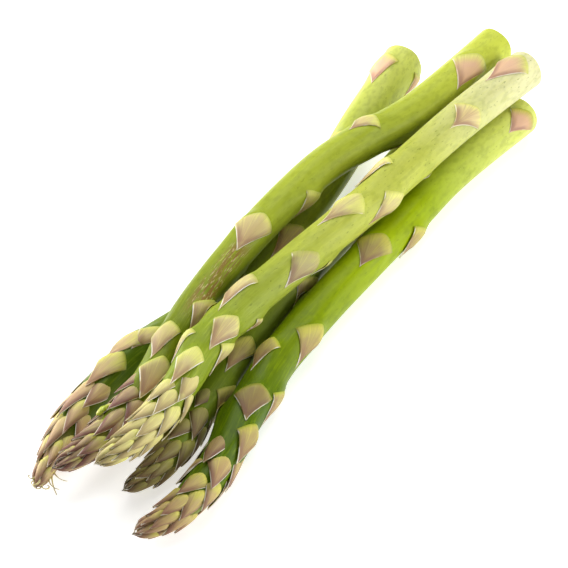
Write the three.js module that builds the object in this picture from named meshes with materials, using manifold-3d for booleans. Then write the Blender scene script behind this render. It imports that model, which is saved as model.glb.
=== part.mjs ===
// A bundle of five fresh green asparagus spears lying on a surface: three below and two on top.
// Millimetres, +Z up. +X runs from the cut ends to the tips, and the origin is on the surface,
// under the middle of the bundle.
import * as THREE from 'three';
import { mergeVertices } from 'three/addons/utils/BufferGeometryUtils.js';
import Module from 'manifold-3d';

const wasm = await Module();
wasm.setup();

// Driving dimensions shared by the spears
const HEAD_LENGTH = 46;
const HEAD_WIDEST = 28;
const HEAD_FULLNESS = 0.25;
const CORE_INSET = 0.9;
const STEM_SIDES = 12;
const RING_STEP = 24;
const HEAD_RINGS = [1.5, 5, 10, 18, 28, 37];
const CORE_TIP = 1;
const LEAST_RADIUS = 0.3;

// Scale leaves of the shaft: size, and how far they stand out of the stem along their length
const SHAFT_LEAF = { length: 15, width: 11.5, rise: [0.3, 1.0, 0.5], sink: -1.2 };
const SHAFT_LEAF_CELLS = 3;

// Scale leaves of the head: a spiral that closes up towards the tip
const HEAD_LEAF = { rise: [-0.9, 0.4, 0.6], sink: -3 };
const HEAD_LEAF_CELLS = 2;
const HEAD_LEAF_COUNT = 14;
const HEAD_LEAF_START = 47;
const HEAD_LEAF_END = 6;
const HEAD_LEAF_SHORTEST = 5.5;
const HEAD_LEAF_STRETCH = 0.2;
const HEAD_LEAF_WRAP = 0.29;
const SPIRAL_TURN = 137.5;

// Outline of a scale leaf, row by row: narrow root, shoulders, and sides that run to a point
const LEAF_ROWS = [{ at: 0, width: 0.5 }, { at: 0.33, width: 1 }, { at: 1, width: 0.06 }];
const LEAF_ROOT_BOW = 0.12;
const LEAF_EDGE_DROP = 0.15;

// The flat under the lower spears, where they rest on the surface
const FLOOR_SLAB = new THREE.Vector3(400, 200, 20);

// Each spear: its centreline from the cut end to the tip, its radii at the cut end, under the
// head and at the head's widest place, the first angle of the head's spiral, and its shaft
// leaves as [distance of the root from the tip, degrees round the stem from the top towards +Y].
const SPEARS = [
  {
    name: 'spear_lower_left',
    colour: 0x8c9450,
    radii: { base: 7.4, neck: 5.4, head: 5.7 },
    spiral: 130,
    route: [
      [-106.5, -28, 7.2], [-72, -22, 6.8], [-30, -13.8, 6.4], [11, -10.5, 6.0], [32, -11.5, 5.7],
      [54, -17, 5.4], [72, -19, 5.4], [95, -16.7, 5.4], [118, -10.4, 4.4],
    ],
    leaves: [
      [224, 105], [219, -22], [198, 160], [176, 0], [160, -120], [145, 150], [130, 63], [116, -110],
      [90, -20], [80, 110], [67, 15], [60, -24], [55, 130], [50, -5],
    ],
  },
  {
    name: 'spear_lower_middle',
    colour: 0x6f7a3a,
    radii: { base: 6.2, neck: 5.4, head: 6.0 },
    spiral: -60,
    route: [
      [-93, -0.3, 6.0], [-42, 1.8, 5.8], [2, 3.4, 5.5], [18.3, 4.2, 5.4], [50, 8.2, 5.3],
      [71, 11.2, 5.3], [84.5, 13.9, 5.3], [96, 13.8, 5.2], [104.5, 11, 4.4],
    ],
    leaves: [
      [190, 75], [165, -130], [140, 120], [120, -20], [100, 78], [86, -100], [75, 160], [64, 24],
      [57, -60], [52, -170], [48, 82],
    ],
  },
  {
    name: 'spear_lower_right',
    colour: 0x97a53c,
    radii: { base: 7.1, neck: 6.1, head: 6.2 },
    spiral: -16,
    route: [
      [-105, 22.2, 6.9], [-86, 19.8, 6.8], [-62.5, 17.6, 6.8], [-30, 17.6, 6.8], [12, 17.6, 6.8],
      [36.4, 18.9, 6.6], [51.2, 21.2, 6.2], [65.8, 24, 5.9], [76.8, 27, 5.9], [87.7, 28.9, 5.9],
      [98, 29.2, 5.8], [106.8, 27.4, 5.4], [115.2, 23.2, 4.8],
    ],
    leaves: [
      [219, 50], [196, -95], [178, 170], [155, 106], [145, -120], [135, 10], [122, 150], [108, -75],
      [92, 65], [80, -27], [74, 165], [68, 81], [61, 13], [56, -80], [48, 60],
    ],
  },
  {
    name: 'spear_upper_left',
    colour: 0x93a055,
    radii: { base: 7.2, neck: 5.1, head: 6.1 },
    spiral: -35,
    route: [
      [-118.5, 2.5, 20], [-94, 1, 20.2], [-69.5, -1.7, 20], [-51, -6.8, 19.8], [-34, -11, 19.7],
      [-12, -12.3, 19.5], [20, -11.5, 18.5], [46, -9, 16.6], [62, -5.8, 14.8], [77, -2.8, 13.4],
      [92.5, -1.7, 12.5], [105, -3.1, 12.2], [114, -6.3, 12],
    ],
    leaves: [
      [220, 40], [200, -150], [185, 150], [170, -25], [136, 110], [124, -150], [110, 12],
      [98, 165], [73, 53], [60, -18], [54, 120], [47, 23],
    ],
  },
  {
    name: 'spear_upper_right',
    colour: 0xb9bd78,
    radii: { base: 7.0, neck: 5.6, head: 5.9 },
    spiral: 65,
    route: [
      [-111.5, 18.9, 21.7], [-81, 14.6, 21.1], [-52.5, 12.2, 20.5], [-19.5, 10, 19.5], [9.7, 6.7, 18.9],
      [38.5, 4.4, 18.8], [56.7, 4.7, 19.2], [72, 8.2, 19.7], [88.3, 10.9, 20], [101.5, 9.9, 20],
      [110.5, 7, 19.6],
    ],
    leaves: [
      [218, 10], [187, 32], [170, 176], [153, -45], [146, 87], [137, -120], [128, 2], [115, 155],
      [103, 64], [93, -150], [82, -10], [77, 112], [71, -85], [64, 42], [61, 117], [56, -60],
      [47, 19],
    ],
  },
];

const { lerp, smoothstep, degToRad } = THREE.MathUtils;

// Outer radius of a spear at a distance from its tip: a pointed head, a neck, a shaft that thickens.
function radiusAt(spear, fromTip) {
  const { base, neck, head } = spear.radii;
  if (fromTip < HEAD_WIDEST) {
    const along = Math.max(fromTip, 0) / HEAD_WIDEST;
    return head * Math.sqrt(along) * (1 + HEAD_FULLNESS * (1 - along));
  }
  if (fromTip < HEAD_LENGTH) return lerp(head, neck, smoothstep(fromTip, HEAD_WIDEST, HEAD_LENGTH));
  return lerp(neck, base, (fromTip - HEAD_LENGTH) / (spear.length - HEAD_LENGTH));
}

// A point at a distance from the tip, an angle round the stem and a radius from the centreline.
function pointAt(spear, fromTip, angle, radius) {
  const along = THREE.MathUtils.clamp(1 - fromTip / spear.length, 0, 1);
  const tangent = spear.curve.getTangentAt(along);
  const side = new THREE.Vector3(0, 0, 1).cross(tangent).normalize();
  const up = tangent.clone().cross(side);
  return spear.curve.getPointAt(along)
    .addScaledVector(up, radius * Math.cos(angle))
    .addScaledVector(side, radius * Math.sin(angle));
}

// Moves every vertex of a geometry by a function of its coordinates.
function bend(geometry, place) {
  const position = geometry.getAttribute('position');
  for (let i = 0; i < position.count; i += 1) {
    const point = place(position.getX(i), position.getY(i), position.getZ(i));
    position.setXYZ(i, point.x, point.y, point.z);
  }
  return geometry;
}

// A closed geometry as a solid: shared vertices merged, collapsed triangles dropped.
function solid(geometry) {
  geometry.deleteAttribute('normal');
  geometry.deleteAttribute('uv');
  const merged = mergeVertices(geometry);
  const index = merged.getIndex().array;
  const triangles = [];
  for (let i = 0; i < index.length; i += 3) {
    const [a, b, c] = index.slice(i, i + 3);
    if (a !== b && b !== c && c !== a) triangles.push(a, b, c);
  }
  return new wasm.Manifold(new wasm.Mesh({
    numProp: 3,
    vertProperties: new Float32Array(merged.getAttribute('position').array),
    triVerts: new Uint32Array(triangles),
  }));
}

function geometryOf(body) {
  const mesh = body.getMesh();
  const geometry = new THREE.BufferGeometry();
  geometry.setAttribute('position', new THREE.BufferAttribute(mesh.vertProperties, 3));
  geometry.setIndex(new THREE.BufferAttribute(mesh.triVerts, 1));
  geometry.computeVertexNormals();
  return geometry;
}

// The stem and the head's core: a lathe along the Y axis, bent onto the centreline.
function stemSolid(spear) {
  const shaftSteps = Math.round((spear.length - HEAD_LENGTH) / RING_STEP);
  const rings = [...HEAD_RINGS];
  for (let i = 0; i <= shaftSteps; i += 1) {
    rings.push(lerp(HEAD_LENGTH, spear.length, i / shaftSteps));
  }
  const profile = rings.map((fromTip) => {
    const inset = CORE_INSET * (1 - smoothstep(fromTip, HEAD_WIDEST, HEAD_LENGTH));
    return new THREE.Vector2(Math.max(radiusAt(spear, fromTip) - inset, LEAST_RADIUS), fromTip);
  });
  const outline = [new THREE.Vector2(0, CORE_TIP), ...profile, new THREE.Vector2(0, spear.length)];
  return solid(bend(new THREE.LatheGeometry(outline, STEM_SIDES), (x, y, z) => (
    pointAt(spear, y, Math.atan2(x, z), Math.hypot(x, z))
  )));
}

// One scale leaf: a box of cells wrapped round the stem, with its underside sunk into it.
function leafSolid(spear, fromTip, angle, leaf, cells) {
  const steps = LEAF_ROWS.length - 1;
  const shoulderRadius = radiusAt(spear, fromTip - leaf.length * LEAF_ROWS[1].at);
  return solid(bend(new THREE.BoxGeometry(1, 1, 1, steps, cells, 1), (x, y, z) => {
    const row = Math.round((x + 0.5) * steps);
    const { at, width } = LEAF_ROWS[row];
    const across = 2 * y;
    const bow = LEAF_ROOT_BOW * across ** 2 * (1 - at);
    const distance = fromTip - leaf.length * (at + bow);
    const height = z > 0 ? leaf.rise[row] * (1 - LEAF_EDGE_DROP * across ** 2) : leaf.sink;
    const turn = (across * width * leaf.width) / 2 / shoulderRadius;
    const radius = Math.max(radiusAt(spear, distance) + height, LEAST_RADIUS);
    return pointAt(spear, distance, degToRad(angle) + turn, radius);
  }));
}

// The head's scale leaves, from the neck to the tip, each shorter and narrower than the last.
function headLeafSolids(spear) {
  return Array.from({ length: HEAD_LEAF_COUNT }, (_, i) => {
    const fromTip = lerp(HEAD_LEAF_START, HEAD_LEAF_END, i / (HEAD_LEAF_COUNT - 1));
    const length = HEAD_LEAF_SHORTEST + HEAD_LEAF_STRETCH * fromTip;
    const width = HEAD_LEAF_WRAP * 2 * Math.PI * radiusAt(spear, fromTip - length / 3);
    const leaf = { ...HEAD_LEAF, length, width };
    return leafSolid(spear, fromTip, spear.spiral + i * SPIRAL_TURN, leaf, HEAD_LEAF_CELLS);
  });
}

function spearMesh(spear) {
  const points = spear.route.map((point) => new THREE.Vector3(...point));
  const curve = new THREE.CatmullRomCurve3(points, false, 'catmullrom', 0.5);
  const bent = { ...spear, curve, length: curve.getLength() };
  let body = stemSolid(bent);
  for (const [fromTip, angle] of spear.leaves) {
    body = body.add(leafSolid(bent, fromTip, angle, SHAFT_LEAF, SHAFT_LEAF_CELLS));
  }
  for (const leaf of headLeafSolids(bent)) body = body.add(leaf);
  const floor = new THREE.BoxGeometry(...FLOOR_SLAB);
  floor.translate(0, 0, -FLOOR_SLAB.z / 2);
  body = body.subtract(solid(floor));
  const material = new THREE.MeshStandardMaterial({ color: spear.colour, roughness: 0.45, metalness: 0 });
  const mesh = new THREE.Mesh(geometryOf(body), material);
  mesh.name = spear.name;
  return mesh;
}

const bundle = new THREE.Group();
bundle.name = 'bundle_of_asparagus';
bundle.add(...SPEARS.map(spearMesh));

export default bundle;
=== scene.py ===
"""Dresses a bundle of five green asparagus spears: stems, scale leaves, heads and dry tip fibres."""
import bisect
import math
import random
from dataclasses import dataclass

import bmesh
import bpy
from bpy.props import FloatProperty, FloatVectorProperty, IntProperty, PointerProperty
from mathutils import Matrix, Vector, noise
from mathutils.geometry import interpolate_bezier


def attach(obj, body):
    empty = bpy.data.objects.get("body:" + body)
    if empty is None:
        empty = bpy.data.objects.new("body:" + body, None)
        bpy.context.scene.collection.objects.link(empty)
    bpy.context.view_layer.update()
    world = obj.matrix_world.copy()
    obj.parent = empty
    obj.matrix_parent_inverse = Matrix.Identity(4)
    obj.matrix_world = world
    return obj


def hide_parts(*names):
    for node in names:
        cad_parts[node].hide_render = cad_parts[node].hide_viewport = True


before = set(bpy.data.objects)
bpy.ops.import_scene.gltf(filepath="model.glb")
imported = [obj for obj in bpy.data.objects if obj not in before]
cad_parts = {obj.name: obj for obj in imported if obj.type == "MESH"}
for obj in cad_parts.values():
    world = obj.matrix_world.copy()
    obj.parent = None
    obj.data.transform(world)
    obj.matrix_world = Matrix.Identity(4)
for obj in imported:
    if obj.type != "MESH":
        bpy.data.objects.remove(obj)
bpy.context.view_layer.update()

bl_info = {
    "name": "Asparagus Bundle",
    "version": (1, 0, 0),
    "blender": (4, 5, 0),
    "location": "View3D > Sidebar > Asparagus",
    "description": "Grows a bundle of fresh green asparagus spears over its solid model",
    "category": "Add Mesh",
}

MM = 0.001
TURN = 2 * math.pi
UP = Vector((0, 0, 1))
CURVE_STEPS = 24

# Node under a shaft leaf: its reach in all, towards the tip and towards the cut end, how far its
# ridge lies behind the leaf's crest, and its half width in half widths of the leaf.
NODE_REACH = 16 * MM
NODE_AHEAD = 6.5 * MM
NODE_BEHIND = 3.6 * MM
NODE_SHIFT = 1.5 * MM
NODE_EDGE = 1.35

# Rings of a cut face: mm beyond the cut end and share of the stem's radius.
CUT_RINGS = ((0.25, 0.985), (0.42, 0.93), (0.45, 0.8), (0.42, 0.4))

# Least height of a leaf over the surface that the bundle lies on, in leaf thicknesses.
LEAF_CLEARANCE = 1.2

# Cells of a leaf's grid, across and along.
SHAFT_CELLS = (16, 18)
HEAD_CELLS = (8, 12)

# Leaves that close a head's point, and the least cosine from the far side that the spiral fills.
TIP_LEAVES = 5
FAR_SIDE_EDGE = 0.05

# Lobes of a side bud: mm further from the tip, degrees of turn and radius in mm.
BUD_LOBES = ((0, 0, 1.0), (1.6, 9, 0.8), (1.4, -10, 0.75))

# A dry strand: its radius, sides and lengths, how much it sags and how it thins from step to step.
FIBRE_RADIUS = 0.36 * MM
FIBRE_SIDES = 6
FIBRE_STEPS = 14
FIBRE_SAG = 0.25 * UP
FIBRE_TAPER = (0.95, 0.95, 0.95)
FIBRE_CLEARANCE = 0.05 * MM


def linear(code):
    """Scene-linear colour of a six-figure hexadecimal display colour."""
    parts = [int(code[i:i + 2], 16) / 255 for i in (0, 2, 4)]
    return tuple(c / 12.92 if c <= 0.04045 else ((c + 0.055) / 1.055) ** 2.4 for c in parts)


def shaded(colour, share):
    """A colour made darker or lighter by a share."""
    return tuple(min(c * share, 1) for c in colour)


@dataclass(frozen=True)
class Leaf:
    """A scale leaf, placed by its crest in mm from the tip and its angle from the top in degrees.

    Length and width are in mm. Lean turns the point aside in degrees, lift raises it in mm, hollow
    shapes the sides, and the last field paints light and shade on the whole leaf: above 1 it
    lightens the leaf as painted light, below 1 it darkens it as painted shade.
    """
    from_tip: float
    angle: float
    length: float = 16.0
    width: float = 9.5
    lean: float = 0.0
    lift: float = 0.0
    hollow: float = 1.25
    tone: float = 1.0


@dataclass(frozen=True)
class Palette:
    """Colours of one spear: its skin from neck to cut end, its shaft leaves and its head leaves."""
    neck: str
    middle: str
    base: str
    crest: str
    blade: str
    blush: str
    bud: str
    bract: str
    bract_tip: str


@dataclass(frozen=True)
class Fibre:
    """A dry strand: where it starts, its length in mm, its first heading and its curl in radians."""
    from_tip: float
    angle: float
    reach: float
    start_turn: float
    turn: float


@dataclass(frozen=True)
class Spear:
    """One spear: its solid's name, centreline from cut end to tip in mm, radii, leaves and colours.

    Spiral is the angle of the first leaf on the head's far side, purple the strength of the line
    along the head leaves, and bud the place of a side bud in mm from the tip and degrees.
    """
    name: str
    route: tuple
    base_radius: float
    neck_radius: float
    head_radius: float
    spiral: float
    leaves: tuple
    head: tuple
    palette: Palette
    specks: float = 0.0
    scuffed: bool = False
    fibres: tuple = ()
    purple: float = 0.45
    bud: tuple = ()


# Where a leaf is given a tone, it is painted light on the whole leaf above 1 and painted shade below 1.
SPEARS = (
    Spear(
        name="spear_lower_left",
        route=(
            (-106.5, -28, 7.2), (-72, -22, 6.8), (-30, -13.8, 6.4), (11, -10.5, 6.0), (32, -11.5, 5.7),
            (54, -17, 5.4), (72, -19, 5.4), (95, -16.7, 5.4), (118, -10.4, 4.4),
        ),
        base_radius=7.4, neck_radius=5.4, head_radius=5.7, spiral=130,
        leaves=(
            Leaf(226, 108, 13, 10), Leaf(222, -28, 18, 11, 10, tone=1.25), Leaf(198, 160),
            Leaf(176, -4, 10, 9, -15), Leaf(160, -120), Leaf(145, 150),
            Leaf(130.5, 54, 18.5, 11.5, -8, tone=1.35), Leaf(116, -110), Leaf(90, -20), Leaf(80, 110),
            Leaf(67, 13, 13, 7.5), Leaf(62, -20, 18, 8.5, -5), Leaf(55, 130, 15, 8),
            Leaf(51.5, 6, 17, 7.8, -16, hollow=0.95),
        ),
        head=(
            Leaf(42.8, 46, 16, 7.8, -20), Leaf(41.5, -14, 20.5, 8, -12), Leaf(32.6, 20, 16.2, 7.2, -3),
            Leaf(29, 68, 13, 7.8), Leaf(26, -46, 12, 7.4, -20), Leaf(24.6, -6, 15.6, 6.6, -12),
            Leaf(20, 60, 12.5, 6.8), Leaf(17.6, -54, 11.4, 6, 12), Leaf(16.3, 25, 11, 5.8, -2),
            Leaf(11.5, 58, 10, 5.4), Leaf(10.2, -6, 9.8, 5.2, 14), Leaf(10, -75, 8.5, 5),
        ),
        palette=Palette(
            neck="4f6c08", middle="aab63c", base="dee478",
            crest="d6d06c", blade="ccb67e", blush="c09472",
            bud="dcda74", bract="d6be86", bract_tip="be927a",
        ),
        fibres=(
            Fibre(2.0, -60, 5.0, 0.0, 3.6), Fibre(1.5, 20, 5.5, 0.2, -4.2), Fibre(1.0, 80, 5.0, 0.3, 4.6),
            Fibre(2.5, -20, 4.5, -0.3, -3.0), Fibre(3.0, 60, 6.0, 0.2, -2.4),
            Fibre(0.8, -100, 4.0, 0.0, 4.0), Fibre(5.0, 85, 6.5, 0.4, 0.5), Fibre(6.0, 80, 5.0, 0.8, 1.2),
            Fibre(4.0, 75, 5.5, 0.2, 1.8),
        ),
    ),
    Spear(
        name="spear_lower_middle",
        route=(
            (-93, -0.3, 6.0), (-42, 1.8, 5.8), (2, 3.4, 5.5), (18.3, 4.2, 5.4), (50, 8.2, 5.3),
            (71, 11.2, 5.3), (84.5, 13.9, 5.3), (96, 13.8, 5.2), (104.5, 11, 4.4),
        ),
        base_radius=6.2, neck_radius=5.4, head_radius=6.0, spiral=-60,
        leaves=(
            Leaf(190, 75), Leaf(165, -130), Leaf(140, 120), Leaf(120, -20),
            Leaf(102, 70, 16, 9.5, 24, tone=1.3), Leaf(86, -100), Leaf(75, 160),
            Leaf(66, 22, 16.5, 8.8, tone=1.2), Leaf(57, -60, 15, 8), Leaf(52, -170, 15, 8),
            Leaf(49, 72, 14.5, 7.6, 24),
        ),
        head=(
            Leaf(44.5, 14, 12, 7.8, -4), Leaf(37, 34, 14.6, 8, 18), Leaf(33, 95, 13, 8),
            Leaf(31, -40, 12, 8.2), Leaf(29.3, 6, 11, 8, -12), Leaf(25.4, 68, 12, 7.8, 16),
            Leaf(22, 24, 12, 7.2, -10), Leaf(22, -40, 12, 7), Leaf(17.6, 112, 10, 6.4),
            Leaf(17.5, -9, 11, 6.4, -10), Leaf(16.4, 50, 10.4, 6.4), Leaf(12.8, 34, 9, 5.2, -22),
            Leaf(11, 90, 9, 5.4), Leaf(10.5, -30, 9, 5.2),
        ),
        palette=Palette(
            neck="6e821a", middle="92a030", base="b0b856",
            crest="c2ba5c", blade="a49458", blush="8a744e",
            bud="b0b050", bract="9e9658", bract_tip="7e6c4a",
        ),
        purple=0.25,
    ),
    Spear(
        name="spear_lower_right",
        route=(
            (-105, 22.2, 6.9), (-86, 19.8, 6.8), (-62.5, 17.6, 6.8), (-30, 17.6, 6.8), (12, 17.6, 6.8),
            (36.4, 18.9, 6.6), (51.2, 21.2, 6.2), (65.8, 24, 5.9), (76.8, 27, 5.9), (87.7, 28.9, 5.9),
            (98, 29.2, 5.8), (106.8, 27.4, 5.4), (115.2, 23.2, 4.8),
        ),
        base_radius=7.1, neck_radius=6.1, head_radius=6.2, spiral=-16,
        leaves=(
            Leaf(221, 44, 13, 11, 8), Leaf(196, -120), Leaf(178, -168), Leaf(155, 98, 16, 9.5, 8, 0.5),
            Leaf(145, -120), Leaf(137.5, 14, 16.5, 12.4, 14, tone=0.85), Leaf(122, -150), Leaf(108, -110),
            Leaf(95, 57, 17.5, 10.5, 34, hollow=1.5), Leaf(80.5, -24, 14, 7.6, -10), Leaf(74, 165, 15, 9),
            Leaf(68.5, 98, 16, 9, 4), Leaf(62, 14, 14.5, 10.6, 16, tone=0.7), Leaf(56, -100, 13, 8),
            Leaf(49, 58, 15, 8.4, 8),
        ),
        head=(
            Leaf(42.3, -18, 14.5, 8.6, 8, tone=0.8), Leaf(40, 100, 13, 8), Leaf(35.6, 26, 13, 8.8, 24),
            Leaf(32, -75, 12, 8), Leaf(28, 68, 10.5, 8, 8), Leaf(26.8, 2, 11.6, 8.4, -14),
            Leaf(22.8, 40, 11.4, 8, 24), Leaf(20, -58, 12, 7), Leaf(18.6, 8, 10.6, 7.8, 6),
            Leaf(16.5, 86, 10, 6.8, 18), Leaf(14, -20, 9.4, 6, -6), Leaf(14, 35, 10, 6.2, 10),
            Leaf(10.9, -14, 8.6, 5.2, 20), Leaf(10, 64, 8.8, 5.2, -5), Leaf(9.5, -55, 8.5, 4.8),
        ),
        palette=Palette(
            neck="446000", middle="98ac00", base="dce278",
            crest="c2ba54", blade="ac9a5a", blush="9c7c56",
            bud="c6c058", bract="baa468", bract_tip="a47e60",
        ),
    ),
    Spear(
        name="spear_upper_left",
        route=(
            (-118.5, 2.5, 20), (-94, 1, 20.2), (-69.5, -1.7, 20), (-51, -6.8, 19.8), (-34, -11, 19.7),
            (-12, -12.3, 19.5), (20, -11.5, 18.5), (46, -9, 16.6), (62, -5.8, 14.8), (77, -2.8, 13.4),
            (92.5, -1.7, 12.5), (105, -3.1, 12.2), (114, -6.3, 12),
        ),
        base_radius=7.2, neck_radius=5.1, head_radius=6.1, spiral=-35,
        leaves=(
            Leaf(221, 22, 17.5, 11.5, 36), Leaf(200, -150), Leaf(185, 150), Leaf(171, -12, 11, 10, -8),
            Leaf(136, 98, 14, 9.5, 15), Leaf(124, -150, 14), Leaf(111.5, 12, 17.5, 12.2, 14, hollow=1.1),
            Leaf(98, 165), Leaf(75, 69, 19, 9.6, -5), Leaf(60.5, -14, 15.5, 8.4, 4), Leaf(54, 120, 14, 8),
            Leaf(47.5, 20, 16.5, 8, 12, hollow=0.95),
        ),
        head=(
            Leaf(42, -40, 13, 8), Leaf(40, 100, 13, 7.8), Leaf(36, -7, 14, 8, -8, 0.5),
            Leaf(33, 46, 12.5, 8, 4), Leaf(30, 95, 12, 7.6), Leaf(28, -62, 12, 7.4),
            Leaf(27.4, 13, 14.6, 7), Leaf(27, 54, 12.5, 7, -8), Leaf(21, 95, 12, 7),
            Leaf(20.6, -17, 12.4, 6.4, -36), Leaf(17.4, 48, 11, 6.4, -10), Leaf(15.5, 0, 11, 5.8, 6),
            Leaf(14, 90, 10, 5.8), Leaf(13.5, -55, 10.5, 5.8), Leaf(11.3, 26, 10.2, 5, 14),
            Leaf(9, -15, 8, 4.8), Leaf(9, 80, 8, 4.8),
        ),
        palette=Palette(
            neck="70800e", middle="a6b236", base="cad250",
            crest="d8d674", blade="ccba7c", blush="b6966e",
            bud="c8ca66", bract="b8a276", bract_tip="8a645a",
        ),
        scuffed=True,
        purple=0.7,
        bud=(21.5, -42),
    ),
    Spear(
        name="spear_upper_right",
        route=(
            (-111.5, 18.9, 21.7), (-81, 14.6, 21.1), (-52.5, 12.2, 20.5), (-19.5, 10, 19.5), (9.7, 6.7, 18.9),
            (38.5, 4.4, 18.8), (56.7, 4.7, 19.2), (72, 8.2, 19.7), (88.3, 10.9, 20), (101.5, 9.9, 20),
            (110.5, 7, 19.6),
        ),
        base_radius=7.0, neck_radius=5.6, head_radius=5.9, spiral=65,
        leaves=(
            Leaf(221.8, 2, 19, 11.5, -14), Leaf(191, 40, 15, 12.8, -8, hollow=1.8, tone=1.12),
            Leaf(170, 176), Leaf(153, -48, 17, 10, -6, 0.25, tone=1.25), Leaf(146, 84, 18, 10, 8),
            Leaf(137, -120), Leaf(132, 2, 19.5, 10.4, -18, hollow=1.5), Leaf(115, 155),
            Leaf(105, 50, 17.5, 9.8, 22, hollow=1.35, tone=0.72), Leaf(93, -150),
            Leaf(83.5, -36, 19, 9, 20, hollow=1.6), Leaf(77, 112, 8, 5), Leaf(71, -100, 13, 8),
            Leaf(67, 40, 17, 8.5, 3, hollow=1.05), Leaf(61.5, 100, 16, 8, 9, hollow=1.5),
            Leaf(56, -60, 14, 7.5), Leaf(48, 8, 16.5, 7, -9, hollow=1.1),
        ),
        head=(
            Leaf(43.2, 53, 15.7, 8.2, -10), Leaf(37, 95, 12, 7.6), Leaf(36, -26, 13, 8.2),
            Leaf(32.6, 17, 13, 6.8, -2), Leaf(29.5, 66, 13, 7.8, 8), Leaf(27, -62, 12, 7.8),
            Leaf(25.8, -12, 12, 7, -18), Leaf(24.3, 36, 12.6, 6.8, -5), Leaf(21.4, 104, 10.8, 6.6, 8),
            Leaf(20.3, -2, 12.3, 6.2, -34), Leaf(19.8, 68, 11.8, 6.4, -10), Leaf(18.5, -60, 11, 6.4),
            Leaf(15.6, 14, 11, 5.6, -8), Leaf(15, 86, 11.4, 5.6, -22), Leaf(12.4, 38, 9.6, 5.2, -15),
            Leaf(12, -45, 9.5, 5.4), Leaf(9.5, 110, 8.6, 5), Leaf(8.5, 0, 8, 4.8), Leaf(8, -80, 7.6, 4.8),
        ),
        palette=Palette(
            neck="7e921a", middle="bac052", base="e4e0b0",
            crest="dcda78", blade="cec082", blush="b89a70",
            bud="dada78", bract="d4cb82", bract_tip="bea974",
        ),
        specks=1.0,
        purple=0.15,
    ),
)


class StemSettings(bpy.types.PropertyGroup):
    """Form of the stems"""
    head_length: FloatProperty(
        name="Head length", description="Length of the closed head", default=46 * MM, unit="LENGTH")
    head_widest: FloatProperty(
        name="Head widest", description="Where the head is widest, from the tip",
        default=28 * MM, unit="LENGTH")
    head_fullness: FloatProperty(
        name="Head fullness", description="How round the head's point is", default=0.25, subtype="FACTOR")
    core_inset: FloatProperty(
        name="Core inset", description="How far the core lies under the head leaves",
        default=0.9 * MM, unit="LENGTH")
    node_rise: FloatProperty(
        name="Node rise", description="Height of the swelling that carries a leaf",
        default=1.0 * MM, unit="LENGTH")
    ridge: FloatProperty(
        name="Ridge", description="Height of the soft ridges along the stem",
        default=0.09 * MM, unit="LENGTH")
    wander: FloatProperty(
        name="Wander", description="Unevenness of the stem's girth", default=0.16 * MM, unit="LENGTH")
    ring_step: FloatProperty(
        name="Ring step", description="Distance between rings of the mesh",
        default=1.25 * MM, unit="LENGTH")
    sides: IntProperty(name="Sides", description="Faces round the stem", default=56, min=12)


class LeafSettings(bpy.types.PropertyGroup):
    """Form of the scale leaves"""
    thickness: FloatProperty(
        name="Thickness", description="Thickness of a scale leaf", default=0.22 * MM, unit="LENGTH")
    bow: FloatProperty(
        name="Crest bow", description="Depth of the crest's arc, as a share of the length",
        default=0.28, subtype="FACTOR")
    plumpness: FloatProperty(
        name="Plumpness", description="How far a head leaf's sides fall below its middle",
        default=1.45 * MM, unit="LENGTH")
    head_root: FloatProperty(
        name="Head leaf root", description="How deep a head leaf is rooted",
        default=1.3 * MM, unit="LENGTH")
    head_overlap: FloatProperty(
        name="Head overlap", description="How far a head leaf's point stands over the next",
        default=1.15 * MM, unit="LENGTH")
    head_count: IntProperty(
        name="Head count", description="Leaves in a whole head's spiral",
        default=36, min=4)
    far_side: FloatProperty(
        name="Far side", description="Middle of the head's side that the spiral fills, in degrees",
        default=-155)
    corner_lift: FloatProperty(
        name="Corner lift", description="How far the free corners stand off",
        default=0.45 * MM, unit="LENGTH")
    head_start: FloatProperty(
        name="Head leaf start", description="First head leaf, from the tip", default=47 * MM, unit="LENGTH")
    head_end: FloatProperty(
        name="Head leaf end", description="Last head leaf, from the tip", default=4.5 * MM, unit="LENGTH")
    head_longest: FloatProperty(
        name="Longest head leaf", description="Length of the lowest head leaf",
        default=15 * MM, unit="LENGTH")
    head_shortest: FloatProperty(
        name="Shortest head leaf", description="Length of the topmost head leaf",
        default=5.5 * MM, unit="LENGTH")
    head_wrap: FloatProperty(
        name="Head wrap", description="Share of the girth one head leaf covers",
        default=0.3, subtype="FACTOR")
    spiral_turn: FloatProperty(
        name="Spiral turn", description="Turn from one head leaf to the next",
        default=math.radians(137.5), subtype="ANGLE")


class ColourSettings(bpy.types.PropertyGroup):
    """Colours that all spears share"""
    # Colour of the dry leaf edge, which also serves as a painted highlight along that edge.
    membrane_and_highlight: FloatVectorProperty(
        name="Membrane", description="Dry edge of a scale leaf", default=linear("efe8d4"), subtype="COLOR")
    blush: FloatVectorProperty(
        name="Blush", description="Pink of the leaves near the cut end",
        default=linear("e2ae94"), subtype="COLOR")
    purple: FloatVectorProperty(
        name="Purple line", description="Line beside the dry edge",
        default=linear("80524c"), subtype="COLOR")
    cut_face: FloatVectorProperty(
        name="Cut face", description="Flesh at the cut end", default=linear("dfe0b4"), subtype="COLOR")
    scuff: FloatVectorProperty(
        name="Scuff", description="Dry scuffed skin", default=linear("866c30"), subtype="COLOR")
    fibre: FloatVectorProperty(
        name="Fibre", description="Dry fibres at a tip", default=linear("d4c68c"), subtype="COLOR")
    floor: FloatVectorProperty(
        name="Floor", description="Floor of the stage", default=(0.78, 0.78, 0.775), subtype="COLOR")


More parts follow.
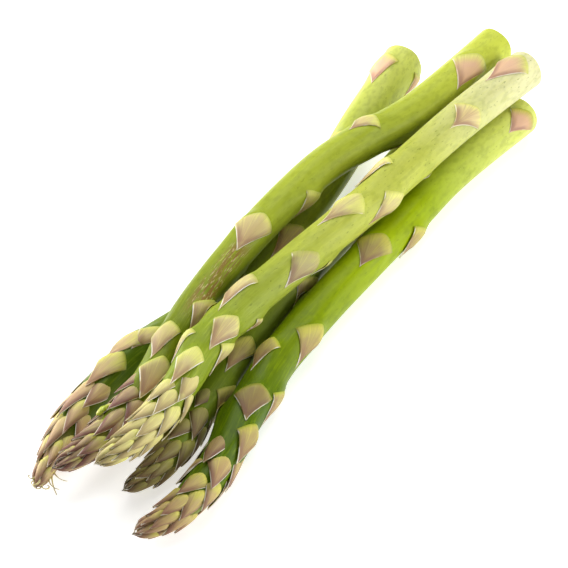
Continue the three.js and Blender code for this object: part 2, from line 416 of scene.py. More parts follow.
class StageSettings(bpy.types.PropertyGroup):
    """Camera and light of the stage"""
    azimuth: FloatProperty(
        name="Azimuth", description="Camera's bearing round the bundle",
        default=math.radians(125), subtype="ANGLE")
    elevation: FloatProperty(
        name="Elevation", description="Camera's height over the floor",
        default=math.radians(45), subtype="ANGLE")
    distance: FloatProperty(
        name="Distance", description="Camera's distance from its target", default=552 * MM, unit="LENGTH")
    target: FloatVectorProperty(
        name="Target", description="Point the camera looks at", default=(12.75 * MM, 2.75 * MM, 8 * MM),
        subtype="TRANSLATION", unit="LENGTH")
    lens: FloatProperty(name="Lens", description="Focal length in millimetres", default=110)
    key_power: FloatProperty(
        name="Key", description="Power of the overhead softbox",
        default=6.0, unit="POWER")
    right_power: FloatProperty(
        name="Right", description="Power of the low softbox on the right",
        default=6.5, unit="POWER")
    left_power: FloatProperty(
        name="Left", description="Power of the low softbox on the left",
        default=10.0, unit="POWER")
    sky: FloatProperty(name="Sky", description="Strength of the even surrounding light", default=0.2)
    floor_glow: FloatProperty(
        name="Floor glow", description="Light that the pale floor adds from below",
        default=0.58)


def rested(point, gap=0.02 * MM):
    """The point, pressed flat where it would come nearer than a gap to the surface the bundle lies on."""
    return Vector((point.x, point.y, max(point.z, gap)))


def smoothstep(low, high, value):
    """Smooth rise from 0 at low to 1 at high."""
    t = min(max((value - low) / (high - low), 0.0), 1.0)
    return t * t * (3 - 2 * t)


def mix(a, b, t):
    """Value a share t of the way from a to b."""
    return a + (b - a) * t


def wrapped(angle):
    """The same angle between minus and plus half a turn."""
    return (angle + math.pi) % TURN - math.pi


class Centreline:
    """A spear's curve, measured in metres from its tip."""

    def __init__(self, route):
        points = [Vector(p) * MM for p in route]
        knots = [2 * points[0] - points[1], *points, 2 * points[-1] - points[-2]]
        line = []
        for before, start, end, after in zip(knots, knots[1:], knots[2:], knots[3:]):
            out, into = start + (end - before) / 6, end - (after - start) / 6
            line += interpolate_bezier(start, out, into, end, CURVE_STEPS)[:-1]
        self.points = [*line, points[-1]][::-1]
        self.distances = [0.0]
        for a, b in zip(self.points, self.points[1:]):
            self.distances.append(self.distances[-1] + (b - a).length)
        self.length = self.distances[-1]

    def frame(self, from_tip):
        """Position, upward and sideways directions at a distance from the tip."""
        i = min(max(bisect.bisect(self.distances, from_tip) - 1, 0), len(self.points) - 2)
        start, end = self.distances[i], self.distances[i + 1]
        share = (from_tip - start) / (end - start)
        ahead = self.tangent(i).lerp(self.tangent(i + 1), min(max(share, 0.0), 1.0))
        side = UP.cross(ahead).normalized()
        return mix(self.points[i], self.points[i + 1], share), ahead.cross(side).normalized(), side

    def tangent(self, i):
        """Direction towards the tip at a sample."""
        low, high = max(i - 1, 0), min(i + 1, len(self.points) - 1)
        return (self.points[low] - self.points[high]).normalized()

    def place(self, from_tip, angle, radius):
        """Point on the spear at a distance from the tip, an angle from the top and a radius."""
        centre, up, side = self.frame(from_tip)
        return centre + (up * math.cos(angle) + side * math.sin(angle)) * radius


class Grown:
    """A spear with its centreline and the radius of its skin."""

    def __init__(self, spear):
        self.spear = spear
        self.line = Centreline(spear.route)
        self.length = self.line.length
        self.stem = bpy.context.scene.asparagus_stem
        self.leaf = bpy.context.scene.asparagus_leaf
        self.seed = SPEARS.index(spear) + 1

    def envelope(self, from_tip):
        """Outer radius without swellings: a pointed head, a neck, a shaft that thickens."""
        spear, stem = self.spear, self.stem
        if from_tip < stem.head_widest:
            along = max(from_tip, 0.0) / stem.head_widest
            return spear.head_radius * MM * math.sqrt(along) * (1 + stem.head_fullness * (1 - along))
        if from_tip < stem.head_length:
            share = smoothstep(stem.head_widest, stem.head_length, from_tip)
            return mix(spear.head_radius, spear.neck_radius, share) * MM
        share = (from_tip - stem.head_length) / (self.length - stem.head_length)
        return mix(spear.neck_radius, spear.base_radius, share) * MM

    def swelling(self, from_tip, angle):
        """Height of the nodes under the shaft leaves."""
        rise = 0.0
        for leaf in self.spear.leaves:
            down = from_tip - leaf.from_tip * MM
            if abs(down) > NODE_REACH:
                continue
            half = leaf.width * MM / 2 / self.envelope(leaf.from_tip * MM)
            across = wrapped(angle - math.radians(leaf.angle)) / half
            if abs(across) > NODE_EDGE:
                continue
            down += self.leaf.bow * leaf.length * MM * min(abs(across), 1.0) ** 1.6 + NODE_SHIFT
            reach = NODE_BEHIND if down > 0 else NODE_AHEAD
            fade = 1 - smoothstep(0.55, NODE_EDGE, abs(across))
            rise = max(rise, self.stem.node_rise * fade * math.exp(-(down / reach) ** 2))
        return rise

    def skin(self, from_tip, angle):
        """Radius of the stem's surface, with nodes, soft ridges and uneven girth."""
        radius = self.envelope(from_tip) + self.swelling(from_tip, angle)
        place = Vector((math.cos(angle), math.sin(angle), from_tip / (22 * MM)))
        radius += self.stem.wander * noise.noise(place + Vector((0, 0, 7.3 * self.seed)))
        return radius + self.stem.ridge * math.cos(5 * angle + 1.7 * self.seed + from_tip / (30 * MM))


def finished(name, bm, material, slot):
    """An object of the bundle from a bmesh, smooth, riding on the bundle and standing for its solid."""
    bmesh.ops.recalc_face_normals(bm, faces=bm.faces)
    mesh = bpy.data.meshes.new(name)
    bm.to_mesh(mesh)
    bm.free()
    mesh.shade_smooth()
    mesh.materials.append(material)
    piece = bpy.data.objects.new(name, mesh)
    bpy.context.scene.collection.objects.link(piece)
    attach(piece, "root")
    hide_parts(slot)
    return piece


def straightened(from_tip, angle, radius):
    """Place in mm that a point of the spear would have if the spear were straight."""
    return Vector((radius * math.cos(angle), radius * math.sin(angle), from_tip)) / MM


def stem_mesh(grown):
    """The stem from under the head's point to the cut end, closed at both."""
    stem = grown.stem
    bm = bmesh.new()
    straight = bm.verts.layers.float_vector.new("grown")
    top = 1 * MM
    rings = round((grown.length - top) / stem.ring_step)
    bmesh.ops.create_grid(bm, x_segments=stem.sides, y_segments=rings, size=0.5)
    for vert in bm.verts:
        angle = TURN * (vert.co.x + 0.5)
        from_tip = mix(top, grown.length, vert.co.y + 0.5)
        inset = stem.core_inset * (1 - smoothstep(stem.head_widest, stem.head_length, from_tip))
        radius = grown.skin(from_tip, angle) - inset
        vert[straight] = straightened(from_tip, angle, radius)
        vert.co = rested(grown.line.place(from_tip, angle, radius))
    bmesh.ops.remove_doubles(bm, verts=bm.verts, dist=1e-6)
    rim = [e for e in bm.edges if e.is_boundary]
    cut = [e for e in rim if min(v[straight].z for v in e.verts) * MM > grown.length / 2]
    bmesh.ops.holes_fill(bm, edges=[e for e in rim if e not in cut], sides=0)
    for beyond, share in CUT_RINGS:
        made = bmesh.ops.extrude_edge_only(bm, edges=cut)["geom"]
        cut = [e for e in made if isinstance(e, bmesh.types.BMEdge) and e.is_boundary]
        for vert in {v for e in cut for v in e.verts}:
            angle = math.atan2(vert[straight].y, vert[straight].x)
            radius = grown.skin(grown.length, angle) * share
            vert.co = rested(grown.line.place(grown.length + beyond * MM, angle, radius))
            vert[straight] = straightened(grown.length + beyond * MM, angle, radius)
    bmesh.ops.holes_fill(bm, edges=cut, sides=0)
    return bm


def leaf_layers(bm):
    """Layers that carry a leaf's own coordinates, edge distance, painted light and shade, and straightened
    place.
    """
    layers = bm.verts.layers
    return (layers.float_vector.new("blade"), layers.float.new("edge"), layers.float.new("tone"),
            layers.float_vector.new("grown"))


def leaf_sheet(bm, layers, grown, leaf, cells, chance, form):
    """Adds one leaf as a grid: form gives its skew, width share, crest bow and radius."""
    blade, edge, tone, straight = layers
    made = bmesh.ops.create_grid(bm, x_segments=cells[0], y_segments=cells[1], size=0.5)
    half = leaf.width * MM / 2
    girth = max(grown.envelope((leaf.from_tip - leaf.length * 0.3) * MM), 1.5 * MM)
    for vert in made["verts"]:
        across, along = 2 * vert.co.x, vert.co.y + 0.5
        width, bow = form.outline(leaf, across, along)
        from_tip = leaf.from_tip * MM - leaf.length * MM * (along + (1 - along) * bow)
        from_tip += form.skew(leaf) * MM * across * (1 - along)
        angle = math.radians(leaf.angle + leaf.lean * along) + across * width * half / girth
        radius = form.radius(grown, leaf, across, along, from_tip, angle)
        gap = LEAF_CLEARANCE * grown.leaf.thickness
        vert.co = rested(grown.line.place(from_tip, angle, radius), gap)
        vert[blade] = Vector((across, along, chance))
        vert[edge] = (1 - abs(across)) * width * half / MM
        vert[tone] = leaf.tone
        vert[straight] = straightened(from_tip, angle, radius)


class ShaftForm:
    """A kite: a bowed crest flush with its node, hollow sides and a long point that lies on the stem."""

    def __init__(self, settings, draw):
        self.settings = settings
        self.curl = draw.uniform(0.5, 1.3) * settings.corner_lift
        self.swell = draw.uniform(0.2, 0.5) * MM

    def skew(self, leaf):
        """How far one corner of the crest lies behind the other, in mm."""
        return 1.5 + 0.06 * leaf.lean

    def outline(self, leaf, across, along):
        """Share of the full width, and how far the crest falls back towards its corners."""
        width = mix(0.012, 1.0, (1 - along) ** leaf.hollow)
        return width, self.settings.bow * ((across ** 2 + 0.01) ** 0.6 - 0.063)

    def radius(self, grown, leaf, across, along, from_tip, angle):
        """Radius of the leaf's outer face: over the stem's skin, with a swell and raised corners."""
        settings = self.settings
        rise = settings.thickness * mix(-0.3, 1.0, smoothstep(0, 0.14, along)) * mix(1.0, 0.75, along)
        rise += self.curl * abs(across) ** 4 * (1 - along) ** 2
        rise += self.swell * (1 - across ** 2) * math.sin(math.pi * along ** 0.7)
        rise += leaf.lift * MM * (along ** 2 + 0.6 * abs(across) ** 3)
        return grown.skin(from_tip, angle) + rise


class HeadForm:
    """A plump blade: a bowed crest, square shoulders and a point that lies over the next leaf's crest."""

    def __init__(self, settings, draw):
        self.settings = settings
        self.plump = draw.uniform(0.8, 1.25)
        self.tip = draw.uniform(0.75, 1.15)

    def skew(self, leaf):
        """How far one corner of the crest lies behind the other, in mm."""
        return 0.8 + 0.04 * leaf.lean

    def lowness(self, leaf):
        """0 for a leaf near the tip, 1 for one low on the head."""
        return smoothstep(16, 32, leaf.from_tip)

    def outline(self, leaf, across, along):
        """Share of the full width, and how far the crest falls back towards its corners."""
        low = self.lowness(leaf)
        full = 1.2 * (1 - along ** mix(leaf.hollow, 0.95, low))
        shoulder = mix(mix(0.66, 0.95, low), 1.0, smoothstep(-0.05, 0.16, along))
        return max(full * shoulder, 0.02), 0.22 * ((across ** 2 + 0.03) ** 0.7 - 0.086)

    def radius(self, grown, leaf, across, along, from_tip, angle):
        """Radius of the leaf's outer face: rooted at its crest, plump, and standing over the next."""
        settings = self.settings
        girth = grown.envelope(from_tip)
        low = self.lowness(leaf)
        rise = mix(-settings.head_root, 0.0, smoothstep(0, 0.2, along) ** 0.7)
        rise += self.tip * settings.head_overlap * along
        rise -= self.plump * settings.plumpness * mix(1.0, 0.4, low) * across ** 2 * (1 - 0.65 * along)
        rise += leaf.lift * MM * along ** 3
        return max(girth - 0.35 * MM + rise * min(1.0, girth / (2.4 * MM)), 0.1 * MM)


def shaft_leaves_mesh(grown):
    """All scale leaves of the shaft, each lying on its node."""
    bm = bmesh.new()
    layers = leaf_layers(bm)
    draw = random.Random(grown.seed)
    for leaf in grown.spear.leaves:
        leaf_sheet(bm, layers, grown, leaf, SHAFT_CELLS, draw.random(), ShaftForm(grown.leaf, draw))
    return bm


def tip_leaf(spear, i):
    """One of the small leaves that close a head's point."""
    return Leaf(
        from_tip=7 + 0.5 * i, angle=spear.spiral + 144 * i, length=7.2 + 0.65 * i, width=4.2, hollow=2.0)


def head_leaves_mesh(grown):
    """The head's scale leaves: the ones in sight as they grew, and a regular spiral on the far side."""
    settings, spear = grown.leaf, grown.spear
    bm = bmesh.new()
    layers = leaf_layers(bm)
    draw = random.Random(grown.seed + 100)
    leaves = list(spear.head)
    for i in range(settings.head_count):
        share = i / (settings.head_count - 1)
        angle = spear.spiral + i * math.degrees(settings.spiral_turn)
        if math.cos(math.radians(angle - settings.far_side)) < FAR_SIDE_EDGE:
            continue
        crest = mix(settings.head_start, settings.head_end, share ** 0.9) / MM
        length = min(mix(settings.head_longest, settings.head_shortest, share) / MM, crest + 0.4)
        girth = max(grown.envelope((crest - length * 0.3) * MM), 1.5 * MM)
        leaves.append(Leaf(crest, angle, length, settings.head_wrap * TURN * girth / MM))
    leaves += [tip_leaf(spear, i) for i in range(TIP_LEAVES)]
    for leaf in leaves:
        leaf_sheet(bm, layers, grown, leaf, HEAD_CELLS, draw.random(), HeadForm(settings, draw))
    return bm


def bud_mesh(grown):
    """A small side bud of three rounded lobes."""
    from_tip, angle = grown.spear.bud
    bm = bmesh.new()
    for shift, turn, size in BUD_LOBES:
        place = (from_tip + shift) * MM
        radius = grown.envelope(place) + 0.3 * MM
        centre = grown.line.place(place, math.radians(angle + turn), radius)
        ahead = grown.line.place(place - 2 * MM, math.radians(angle + turn), radius) - centre
        shape = Matrix.Translation(centre) @ ahead.to_track_quat("Z", "Y").to_matrix().to_4x4()
        shape @= Matrix.Diagonal((0.85, 0.85, 1.7, 1))
        bmesh.ops.create_icosphere(bm, subdivisions=3, radius=size * MM, matrix=shape)
    return bm


def fibres_mesh(grown):
    """Thin dry strands that curl out between the last leaves of the tip and sag to the surface."""
    bm = bmesh.new()
    ahead = (grown.line.place(0, 0, 0) - grown.line.place(4 * MM, 0, 0)).normalized()
    facing = ahead.to_track_quat("Z", "Y").to_matrix().to_4x4()
    for fibre in grown.spear.fibres:
        place, angle = fibre.from_tip * MM, math.radians(fibre.angle)
        start = Matrix.Translation(grown.line.place(place, angle, grown.envelope(place) * 0.9))
        ring = bmesh.ops.create_circle(
            bm, cap_ends=True, segments=FIBRE_SIDES, radius=FIBRE_RADIUS, matrix=start @ facing)["verts"]
        edges = list({e for v in ring for e in v.link_edges})
        for step in range(FIBRE_STEPS):
            turned = Matrix.Rotation(fibre.start_turn + fibre.turn * step / FIBRE_STEPS, 3, "Z") @ ahead
            heading = (turned - FIBRE_SAG).normalized()
            made = bmesh.ops.extrude_edge_only(bm, edges=edges)["geom"]
            ring = [v for v in made if isinstance(v, bmesh.types.BMVert)]
            edges = [e for e in made if isinstance(e, bmesh.types.BMEdge) and e.is_boundary]
            bmesh.ops.translate(bm, verts=ring, vec=heading * fibre.reach * MM / FIBRE_STEPS)
            middle = sum((v.co for v in ring), Vector()) / len(ring)
            bmesh.ops.scale(bm, verts=ring, vec=FIBRE_TAPER, space=Matrix.Translation(-middle))
        bmesh.ops.holes_fill(bm, edges=edges, sides=0)
    sunk = min(v.co.z for v in bm.verts)
    for vert in bm.verts:
        vert.co.z -= min(sunk - FIBRE_CLEARANCE, 0.0) * smoothstep(3 * MM, 0.0, vert.co.z)
    return bm


def add(tree, kind, inputs=None, **settings):
    """A shader node with its settings made and its inputs set or linked."""
    made = tree.nodes.new(kind)
    for name, value in settings.items():
        setattr(made, name, value)
    for name, value in (inputs or {}).items():
        if isinstance(value, bpy.types.NodeSocket):
            tree.links.new(value, made.inputs[name])
        else:
            made.inputs[name].default_value = value
    return made


def maths(tree, operation, a, b=0.0):
    """Result of one maths operation."""
    return add(tree, "ShaderNodeMath", {0: a, 1: b}, operation=operation).outputs[0]


def times(tree, a, b):
    """Product of two values."""
    return maths(tree, "MULTIPLY", a, b)


def remainder(tree, value):
    """What a value leaves of 1."""
    return maths(tree, "SUBTRACT", 1.0, value)


def attribute(tree, name, output="Vector"):
    """An attribute that the mesh carries."""
    return add(tree, "ShaderNodeAttribute", attribute_name=name).outputs[output]


def axes(tree, vector):
    """X, Y and Z of a vector."""
    return add(tree, "ShaderNodeSeparateXYZ", {"Vector": vector}).outputs


def blend(tree, factor, a, b):
    """Colour b over colour a."""
    a = (*a, 1) if isinstance(a, tuple) else a
    b = (*b, 1) if isinstance(b, tuple) else b
    made = add(tree, "ShaderNodeMix", {0: factor, 6: a, 7: b}, data_type="RGBA")
    return made.outputs[2]


def ramp(tree, factor, stops):
    """Colours along a factor."""
    made = add(tree, "ShaderNodeValToRGB", {"Fac": factor})
    elements = made.color_ramp.elements
    while len(elements) < len(stops):
        elements.new(0.5)
    for element, (position, colour) in zip(elements, stops):
        element.position = position
        element.color = (*colour, 1)
    return made.outputs["Color"]


def band(tree, value, low, high):
    """Smooth rise of a value from 0 at low to 1 at high."""
    inputs = {"Value": value, "From Min": low, "From Max": high}
    return add(tree, "ShaderNodeMapRange", inputs, interpolation_type="SMOOTHSTEP").outputs["Result"]


def grain(tree, vector, scale, size=1.0, detail=3.0):
    """Noise on a vector that is stretched first."""
    stretched = add(tree, "ShaderNodeMapping", {"Vector": vector, "Scale": scale}).outputs["Vector"]
    inputs = {"Vector": stretched, "Scale": size, "Detail": detail}
    return add(tree, "ShaderNodeTexNoise", inputs).outputs["Fac"]


def new_skin(name, roughness, gloss, subsurface):
    """A material with its shader: waxy plant tissue that light enters a little."""
    material = bpy.data.materials.new(name)
    material.use_nodes = True
    tree = material.node_tree
    shader = tree.nodes["Principled BSDF"]
    shader.inputs["Roughness"].default_value = roughness
    shader.inputs["Specular IOR Level"].default_value = gloss
    shader.inputs["Subsurface Weight"].default_value = subsurface
    shader.inputs["Subsurface Radius"].default_value = (1.0, 0.9, 0.25)
    shader.inputs["Subsurface Scale"].default_value = 1.2 * MM
    return material, tree, shader


def scuffed(tree, colour, place, parts):
    """Dry brown cracks and pale flecks in one patch of the skin, below the head."""
    colours = bpy.context.scene.asparagus_colours
    angle = maths(tree, "ARCTAN2", parts["Y"], parts["X"])
    reach = maths(tree, "ABSOLUTE", maths(tree, "SUBTRACT", parts["Z"], 82.0))
    near = remainder(tree, band(tree, reach, 10.0, 20.0))
    turn = maths(tree, "ABSOLUTE", maths(tree, "SUBTRACT", angle, 0.55))
    near = times(tree, near, remainder(tree, band(tree, turn, 0.3, 0.8)))
    cracks = band(tree, grain(tree, place, (1.9, 1.9, 0.11), detail=5.0), 0.41, 0.53)
    colour = blend(tree, times(tree, near, cracks), colour, tuple(colours.scuff))
    flecks = band(tree, grain(tree, place, (2.4, 2.4, 0.35), detail=3.0), 0.57, 0.63)
    flecks = times(tree, times(tree, near, flecks), 0.55)
    return blend(tree, flecks, colour, tuple(colours.fibre))


def cut_open(tree, colour, place, parts, grown):
    """Pale flesh with darker bundles and a green rim, past the end of the skin."""
    spear, length = grown.spear, grown.length / MM
    middle, pale = linear(spear.palette.middle), tuple(bpy.context.scene.asparagus_colours.cut_face)
    flesh = band(tree, parts["Z"], length + 0.2, length + 0.38)
    bundles = band(tree, grain(tree, place, (1.3, 1.3, 0.1), detail=1.0), 0.56, 0.66)
    fresh = blend(tree, times(tree, bundles, 0.4), pale, shaded(middle, 0.8))
    across = add(tree, "ShaderNodeCombineXYZ", {"X": parts["X"], "Y": parts["Y"]}).outputs["Vector"]
    reach = add(tree, "ShaderNodeVectorMath", {0: across}, operation="LENGTH").outputs["Value"]
    rim = band(tree, reach, 0.72 * spear.base_radius, 0.95 * spear.base_radius)
    fresh = blend(tree, times(tree, rim, 0.55), fresh, middle)
    return blend(tree, flesh, colour, fresh)


def stem_skin(grown):
    """Stem skin: green from neck to base, blotches, fine lengthwise fibres, specks and a pale cut end."""
    spear, palette = grown.spear, grown.spear.palette
    material, tree, shader = new_skin(f"{spear.name}_skin", roughness=0.4, gloss=0.15, subsurface=0.25)
    place = attribute(tree, "grown")
    parts = axes(tree, place)
    neck, middle, base = linear(palette.neck), linear(palette.middle), linear(palette.base)
    point = linear(palette.bract_tip)
    along = maths(tree, "DIVIDE", parts["Z"], grown.length / MM)
    colour = ramp(tree, along, (
        (0.03, point), (0.09, neck), (0.26, neck), (0.56, middle), (0.72, middle), (0.97, base)))
    blotch = times(tree, grain(tree, place, (0.09, 0.09, 0.035)), 0.28)
    colour = blend(tree, blotch, colour, shaded(middle, 0.62))
    fibre = grain(tree, place, (1.9, 1.9, 0.09), detail=4.0)
    streak = times(tree, band(tree, fibre, 0.45, 0.8), 0.22)
    colour = blend(tree, streak, colour, shaded(middle, 1.45))
    mottle = band(tree, grain(tree, place, (0.55, 0.55, 0.3), detail=5.0), 0.42, 0.7)
    colour = blend(tree, times(tree, mottle, 0.2), colour, shaded(neck, 0.6))
    speck = band(tree, grain(tree, place, (1.4, 1.4, 0.55), detail=1.5), 0.66, 0.72)
    speck = times(tree, speck, 0.22 + 0.22 * spear.specks)
    colour = blend(tree, speck, colour, shaded(neck, 0.35))
    if spear.scuffed:
        colour = scuffed(tree, colour, place, parts)
    colour = cut_open(tree, colour, place, parts, grown)
    tree.links.new(colour, shader.inputs["Base Color"])
    pits = grain(tree, place, (2.2, 2.2, 1.2), detail=2.0)
    height = maths(tree, "ADD", fibre, times(tree, pits, 0.5))
    bump = add(tree, "ShaderNodeBump", {"Height": height, "Strength": 0.35, "Distance": 0.12 * MM})
    tree.links.new(bump.outputs["Normal"], shader.inputs["Normal"])
    return material


def leaf_skin(name, foot, crest, body, point, purple_share, shade, softness):
    """Scale leaf skin: green foot, pale crest, drier body, veins, a purple line and a dry pale edge,
    with painted shade on the sides, partly painted shade at a head leaf's foot, a dry edge that is
    partly a painted highlight, and painted light and shade scaling each whole leaf.
    """
    colours = bpy.context.scene.asparagus_colours
    material, tree, shader = new_skin(name, roughness=0.5, gloss=0.27, subsurface=softness)
    blade = attribute(tree, "blade")
    parts = axes(tree, blade)
    edge = attribute(tree, "edge", "Fac")
    place = attribute(tree, "grown")
    far = axes(tree, place)["Z"]
    drift = maths(tree, "SUBTRACT", grain(tree, place, (0.4, 0.4, 0.22)), 0.5)
    drift = times(tree, drift, 0.55)
    shift = times(tree, maths(tree, "SUBTRACT", parts["Z"], 0.5), 0.3)
    along = maths(tree, "ADD", parts["Y"], maths(tree, "ADD", drift, shift))
    colour = ramp(tree, along, ((0.04, crest), (0.3, body), (0.9, point), (1.0, body)))
    veins = grain(tree, blade, (15.0, 0.7, 9.0), detail=4.0)
    dark = times(tree, band(tree, veins, 0.48, 0.75), 0.34)
    colour = blend(tree, dark, colour, shaded(point, 0.55))
    pale = band(tree, grain(tree, blade, (10.0, 1.0, 5.0), detail=3.0), 0.5, 0.75)
    colour = blend(tree, times(tree, pale, 0.34), colour, shaded(crest, 1.3))
    pink = times(tree, band(tree, far, 170.0, 218.0), band(tree, parts["Y"], 0.05, 0.35))
    colour = blend(tree, times(tree, pink, 0.72), colour, tuple(colours.blush))
    # Green foot where the leaf grows from the stem; on a head leaf the dark neck green here is also painted
    # shade under the point of the leaf before.
    green = remainder(tree, band(tree, parts["Y"], -0.02, 0.12))
    colour = blend(tree, times(tree, green, 0.75), colour, foot)
    # Painted shade: each leaf grows darker towards its side edges, where it tucks under its neighbours; the
    # shade argument sets how much.
    sides = times(tree, remainder(tree, band(tree, edge, 0.0, 1.8)), shade)
    colour = blend(tree, sides, colour, shaded(point, 0.4))
    line = maths(tree, "SUBTRACT", band(tree, edge, 0.1, 0.3), band(tree, edge, 0.35, 1.5))
    line = times(tree, line, times(tree, band(tree, along, 0.0, 0.55), purple_share))
    colour = blend(tree, line, colour, tuple(colours.purple))
    # Painted light and shade: each leaf's colour is scaled by its own factor, lighter for leaves in light and
    # darker for leaves in shadow.
    toned = {0: colour, "Scale": attribute(tree, "tone", "Fac")}
    colour = add(tree, "ShaderNodeVectorMath", toned, operation="SCALE").outputs["Vector"]
    # Pale dry edge in patches: partly the real dry margin of the leaf and partly a painted highlight on its
    # thin edge.
    present = band(tree, grain(tree, blade, (1.3, 2.4, 8.0), detail=1.0), 0.38, 0.52)
    dry = remainder(tree, band(tree, edge, 0.03, 0.2))
    dry = times(tree, times(tree, dry, present), band(tree, parts["Y"], 0.02, 0.1))
    colour = blend(tree, dry, colour, tuple(colours.membrane_and_highlight))
    tree.links.new(colour, shader.inputs["Base Color"])
    bump = add(tree, "ShaderNodeBump", {"Height": veins, "Strength": 0.45, "Distance": 0.15 * MM})
    tree.links.new(bump.outputs["Normal"], shader.inputs["Normal"])
    return material


def fibre_skin():
    """Dry straw-coloured fibre with darker stretches."""
    colours = bpy.context.scene.asparagus_colours
    material, tree, shader = new_skin("tip_fibre", roughness=0.6, gloss=0.25, subsurface=0.1)
    place = add(tree, "ShaderNodeTexCoord").outputs["Object"]
    patch = grain(tree, place, (400.0, 400.0, 400.0))
    straw = tuple(colours.fibre)
    colour = blend(tree, band(tree, patch, 0.4, 0.65), straw, shaded(straw, 0.5))
    tree.links.new(colour, shader.inputs["Base Color"])
    return material


def bud_skin():
    """Fresh bud skin: bright green mottled with paler green."""
    material, tree, shader = new_skin("side_bud", roughness=0.35, gloss=0.3, subsurface=0.3)
    place = add(tree, "ShaderNodeTexCoord").outputs["Object"]
    patch = grain(tree, place, (900.0, 900.0, 900.0))
    colour = blend(tree, band(tree, patch, 0.4, 0.65), linear("a8b82c"), linear("dcdc78"))
    tree.links.new(colour, shader.inputs["Base Color"])
    return material


class ASPARAGUS_OT_stems(bpy.types.Operator):
    """Grow the stems along their centrelines"""
    bl_idname = "asparagus.stems"
    bl_label = "Grow Stems"

    def execute(self, context):
        for spear in SPEARS:
            grown = Grown(spear)
            finished(f"{spear.name}_stem", stem_mesh(grown), stem_skin(grown), spear.name)
        return {"FINISHED"}


def thicken(piece, thickness):
    """Gives leaf sheets their thickness, towards the stem."""
    wall = piece.modifiers.new("Leaf thickness", "SOLIDIFY")
    wall.thickness = thickness
    wall.offset = -1


class ASPARAGUS_OT_shaft_leaves(bpy.types.Operator):
    """Set the scale leaves along the stems"""
    bl_idname = "asparagus.shaft_leaves"
    bl_label = "Set Shaft Leaves"

    def execute(self, context):
        for spear in SPEARS:
            grown, palette = Grown(spear), spear.palette
            colours = [linear(c) for c in (palette.middle, palette.crest, palette.blade, palette.blush)]
            skin = leaf_skin(f"{spear.name}_scale", *colours, purple_share=0.5, shade=0.15, softness=0.2)
            piece = finished(f"{spear.name}_leaves", shaft_leaves_mesh(grown), skin, spear.name)
            thicken(piece, context.scene.asparagus_leaf.thickness)
        return {"FINISHED"}


class ASPARAGUS_OT_heads(bpy.types.Operator):
    """Close the heads with a spiral of scale leaves"""
    bl_idname = "asparagus.heads"
    bl_label = "Close Heads"

    def execute(self, context):
        for spear in SPEARS:
            grown, palette = Grown(spear), spear.palette
            # The neck green given as the head leaves' foot is partly their real green base and partly painted
            # shade at their roots.
            colours = [linear(c) for c in (palette.neck, palette.bud, palette.bract, palette.bract_tip)]
            skin = leaf_skin(
                f"{spear.name}_bract", *colours, purple_share=spear.purple, shade=0.6, softness=0.08)
            piece = finished(f"{spear.name}_head", head_leaves_mesh(grown), skin, spear.name)
            thicken(piece, context.scene.asparagus_leaf.thickness)
        return {"FINISHED"}


class ASPARAGUS_OT_fibres(bpy.types.Operator):
    """Add dry fibres and a side bud to the heads that have them"""
    bl_idname = "asparagus.fibres"
    bl_label = "Add Fibres and Bud"

    def execute(self, context):
        skin = fibre_skin()
        for spear in SPEARS:
            if spear.fibres:
                finished(f"{spear.name}_fibres", fibres_mesh(Grown(spear)), skin, spear.name)
            if spear.bud:
                finished(f"{spear.name}_bud", bud_mesh(Grown(spear)), bud_skin(), spear.name)
        return {"FINISHED"}


def softbox(name, location, size, power, target):
    """A square area light aimed at a point."""
    light = bpy.data.lights.new(name, "AREA")
    light.size = size
    light.energy = power
    lamp = bpy.data.objects.new(name, light)
    lamp.location = location
    lamp.rotation_euler = (Vector(target) - Vector(location)).to_track_quat("-Z", "Y").to_euler()
    bpy.context.scene.collection.objects.link(lamp)


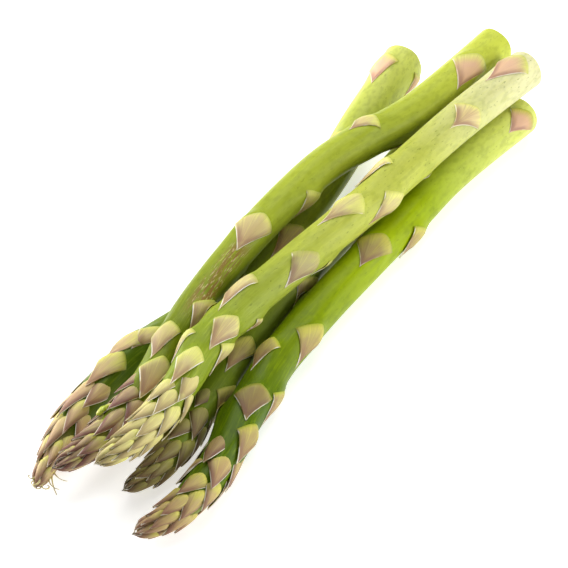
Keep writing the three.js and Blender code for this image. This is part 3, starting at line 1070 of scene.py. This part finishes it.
class ASPARAGUS_OT_stage(bpy.types.Operator):
    """Set up the pale floor, the soft light and the camera"""
    bl_idname = "asparagus.stage"
    bl_label = "Set Stage"

    def execute(self, context):
        scene, stage = context.scene, context.scene.asparagus_stage
        bm = bmesh.new()
        bmesh.ops.create_grid(bm, x_segments=1, y_segments=1, size=3)
        mesh = bpy.data.meshes.new("floor")
        bm.to_mesh(mesh)
        bm.free()
        paper = bpy.data.materials.new("pale_floor")
        paper.use_nodes = True
        shader = paper.node_tree.nodes["Principled BSDF"]
        shader.inputs["Base Color"].default_value = (*scene.asparagus_colours.floor, 1)
        shader.inputs["Roughness"].default_value = 0.9
        shader.inputs["Emission Color"].default_value = (1.0, 1.0, 1.0, 1)
        shader.inputs["Emission Strength"].default_value = stage.floor_glow
        mesh.materials.append(paper)
        floor = bpy.data.objects.new("floor", mesh)
        scene.collection.objects.link(floor)
        target = Vector(stage.target)
        flat = math.cos(stage.elevation)
        back = Vector((
            math.sin(stage.azimuth) * flat, -math.cos(stage.azimuth) * flat, math.sin(stage.elevation)))
        camera = bpy.data.objects.new("camera", bpy.data.cameras.new("camera"))
        camera.data.lens = stage.lens
        camera.data.sensor_width = 36
        camera.location = target + back * stage.distance
        camera.rotation_euler = (-back).to_track_quat("-Z", "Y").to_euler()
        camera.data.clip_start = 0.01
        scene.collection.objects.link(camera)
        scene.camera = camera
        right = UP.cross(back).normalized()
        away = Vector((-back.x, -back.y, 0)).normalized()
        over = away * 0.45 + UP * 0.8
        aside = right * 0.8 - away * 0.25 + UP * 0.3
        behind = away * 0.4 - right * 0.8 + UP * 0.3
        softbox("overhead", target + over, size=0.8, power=stage.key_power, target=target)
        softbox("right", target + aside, size=0.6, power=stage.right_power, target=target)
        softbox("left", target + behind, size=0.6, power=stage.left_power, target=target)
        world = bpy.data.worlds.new("sky")
        world.use_nodes = True
        sky = world.node_tree.nodes["Background"]
        sky.inputs["Color"].default_value = (1.0, 1.0, 1.0, 1)
        sky.inputs["Strength"].default_value = stage.sky
        scene.world = world
        scene.view_settings.view_transform = "Standard"
        return {"FINISHED"}


class ASPARAGUS_PT_bundle(bpy.types.Panel):
    """Steps and sizes of the asparagus bundle"""
    bl_label = "Asparagus Bundle"
    bl_idname = "ASPARAGUS_PT_bundle"
    bl_space_type = "VIEW_3D"
    bl_region_type = "UI"
    bl_category = "Asparagus"

    def draw(self, context):
        for operator in OPERATORS:
            self.layout.operator(operator.bl_idname)
        for name, group in SETTINGS.items():
            box = self.layout.box()
            for key in group.__annotations__:
                box.prop(getattr(context.scene, name), key)


OPERATORS = (
    ASPARAGUS_OT_stems,
    ASPARAGUS_OT_shaft_leaves,
    ASPARAGUS_OT_heads,
    ASPARAGUS_OT_fibres,
    ASPARAGUS_OT_stage,
)
SETTINGS = {
    "asparagus_stem": StemSettings,
    "asparagus_leaf": LeafSettings,
    "asparagus_colours": ColourSettings,
    "asparagus_stage": StageSettings,
}


def register():
    for made in (*SETTINGS.values(), *OPERATORS, ASPARAGUS_PT_bundle):
        bpy.utils.register_class(made)
    for name, group in SETTINGS.items():
        setattr(bpy.types.Scene, name, PointerProperty(type=group))


def unregister():
    for name in SETTINGS:
        delattr(bpy.types.Scene, name)
    for made in reversed((*SETTINGS.values(), *OPERATORS, ASPARAGUS_PT_bundle)):
        bpy.utils.unregister_class(made)


def main():
    register()
    bpy.ops.asparagus.stems()
    bpy.ops.asparagus.shaft_leaves()
    bpy.ops.asparagus.heads()
    bpy.ops.asparagus.fibres()
    bpy.ops.asparagus.stage()


if __name__ == "__main__":
    main()
